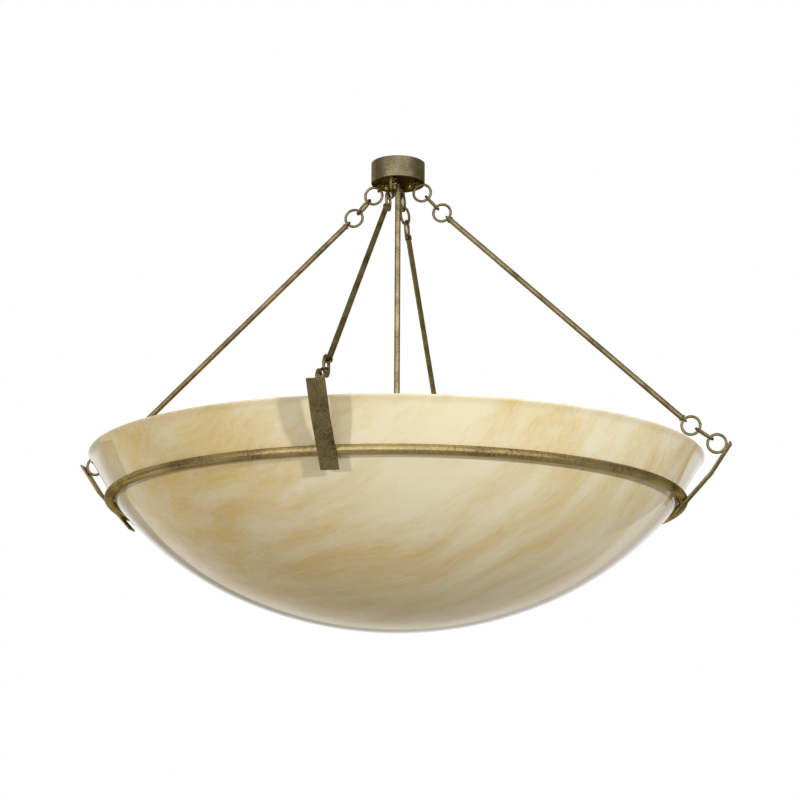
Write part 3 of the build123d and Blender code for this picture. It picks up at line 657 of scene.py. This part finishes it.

# room: white behind the object and dimmer low down there, dim at both sides, bright in front where a window
# lies, and a dimmer ceiling above; this is what the polish mirrors. Bearings count from straight behind, and a
# rise is the height of a direction's unit vector
room = {"behind": (-0.2079, 0.9781), "whiteLeft": -58.0, "whiteRight": 36.0, "edge": 3.0, "white": 1.0,
        "dim": 0.26, "window": (112.0, 128.0), "windowWhite": 1.15, "lowTurn": (-13.0, 1.0),
        "lowLeft": 0.30, "lowRight": 0.62, "horizon": (-0.10, 0.02), "ceilingRise": (0.58, 0.80),
        "ceiling": 0.40, "fill": (-0.4, 0.4, 0.36, 0.60), "fillColour": "#FFFCF6", "whiteColour": "#FFFFFF"}
world = bpy.data.worlds.new("whiteRoom")
bpy.context.scene.world = world
world.use_nodes = True
tree = world.node_tree
tree.nodes.clear()
heading = addNode(tree, "TexCoord").outputs["Generated"]
backX, backY = room["behind"]
ahead = addNode(tree, "VectorMath", {0: heading, 1: (backX, backY, 0)}, operation="DOT_PRODUCT")
rightward = addNode(tree, "VectorMath", {0: heading, 1: (backY, -backX, 0)}, operation="DOT_PRODUCT")
bearing = addNode(tree, "Math", {0: rightward.outputs["Value"], 1: ahead.outputs["Value"]},
                  operation="ARCTAN2").outputs[0]
leftEdge = addNode(tree, "MapRange", {0: bearing, **span(
    radians(room["whiteLeft"] - room["edge"]), radians(room["whiteLeft"]), 0.0, 1.0)})
rightEdge = addNode(tree, "MapRange", {0: bearing, **span(
    radians(room["whiteRight"]), radians(room["whiteRight"] + room["edge"]), 1.0, 0.0)})
inside = addNode(tree, "Math", {0: leftEdge.outputs[0], 1: rightEdge.outputs[0]}, operation="MULTIPLY")
rise = addNode(tree, "SeparateXYZ", {0: heading}).outputs[2]
turned = addNode(tree, "Math", {0: bearing}, operation="ABSOLUTE").outputs[0]
window = addNode(tree, "MapRange", {0: turned, **span(
    *map(radians, room["window"]), room["dim"], room["windowWhite"])}).outputs[0]
low = addNode(tree, "MapRange", {0: bearing, **span(
    *map(radians, room["lowTurn"]), room["lowLeft"], room["lowRight"])}).outputs[0]
whiteSide = addNode(tree, "MapRange", {0: rise, **span(*room["horizon"], low, room["white"])}).outputs[0]
walls = addNode(tree, "MapRange", {0: inside.outputs[0], **span(0.0, 1.0, window, whiteSide)}).outputs[0]
mirrored = addNode(tree, "MapRange", {0: rise, **span(*room["ceilingRise"], walls, room["ceiling"])})
fill = addNode(tree, "MapRange", {0: rise, **span(*room["fill"])})
ray = addNode(tree, "LightPath")
shiny = addNode(tree, "Math", {0: ray.outputs["Is Glossy Ray"], 1: ray.outputs["Is Transmission Ray"]},
                operation="MAXIMUM").outputs[0]
fillPart = addNode(tree, "Background", {"Color": hexLinear(room["fillColour"]), "Strength": fill.outputs[0]})
mirrorPart = addNode(tree, "Background", {"Color": hexLinear(room["whiteColour"]),
                                          "Strength": mirrored.outputs[0]})
whitePart = addNode(tree, "Background", {"Color": hexLinear(room["whiteColour"]), "Strength": 1.0})
lit = addNode(tree, "MixShader", {0: shiny, 1: fillPart.outputs[0], 2: mirrorPart.outputs[0]})
shown = addNode(tree, "MixShader", {0: ray.outputs["Is Camera Ray"], 1: lit.outputs[0],
                                    2: whitePart.outputs[0]})
addNode(tree, "OutputWorld", {"Surface": shown.outputs[0]})

# two softboxes, level with the rim, which give the front strap its two shadows
softboxes = {"rightSoftbox": {"bearing": -39.0, "rise": 5.7, "watts": 59.0, "size": 0.15},
             "leftSoftbox": {"bearing": -126.0, "rise": -2.7, "watts": 32.0, "size": 0.18}}
boxLook = {"distance": 3.0, "aim": (0, -0.70, -0.78), "colour": "#FFFBF4"}
for name, box in softboxes.items():
    light = bpy.data.lights.new(name, "AREA")
    light.size, light.energy, light.color = box["size"], box["watts"], hexLinear(boxLook["colour"])[:3]
    holder = bpy.data.objects.new(name, light)
    turn, climb = radians(box["bearing"]), radians(box["rise"])
    outward = Vector((cos(turn) * cos(climb), sin(turn) * cos(climb), sin(climb)))
    holder.location = Vector(boxLook["aim"]) + outward * boxLook["distance"]
    holder.rotation_euler = (-outward).to_track_quat("-Z", "Y").to_euler()
    holder.visible_glossy = False      # the metal mirrors the room and the floor instead
    bpy.context.scene.collection.objects.link(holder)

# camera, at the photograph's place and angle; pitch, yaw and roll are in radians
view = {"lens": 90.0, "sensor": 36.0, "clip": (0.05, 100.0), "place": (0.9356, -4.4016, -1.6233),
        "turn": 12.0, "pitch": 0.22892, "yaw": 0.0016538, "roll": 0.005338}
pitch, yaw, roll = view["pitch"], view["yaw"], view["roll"]
spin = Matrix.Rotation(radians(view["turn"]), 3, "Z")
forward = spin @ Vector((sin(yaw) * cos(pitch), cos(yaw) * cos(pitch), sin(pitch)))
right = spin @ Vector((cos(yaw), -sin(yaw), 0))
upward = right.cross(forward)
level = right * cos(roll) + upward * sin(roll)
above = upward * cos(roll) - right * sin(roll)
cameraData = bpy.data.cameras.new("camera")
cameraData.lens, cameraData.sensor_width = view["lens"], view["sensor"]
cameraData.clip_start, cameraData.clip_end = view["clip"]
camera = bpy.data.objects.new("camera", cameraData)
camera.matrix_world = Matrix((level, above, -forward)).transposed().to_4x4()
camera.location = view["place"]
bpy.context.scene.collection.objects.link(camera)
bpy.context.scene.camera = camera
bpy.context.scene.view_settings.view_transform = "Standard"
print("room, lights and camera: set")
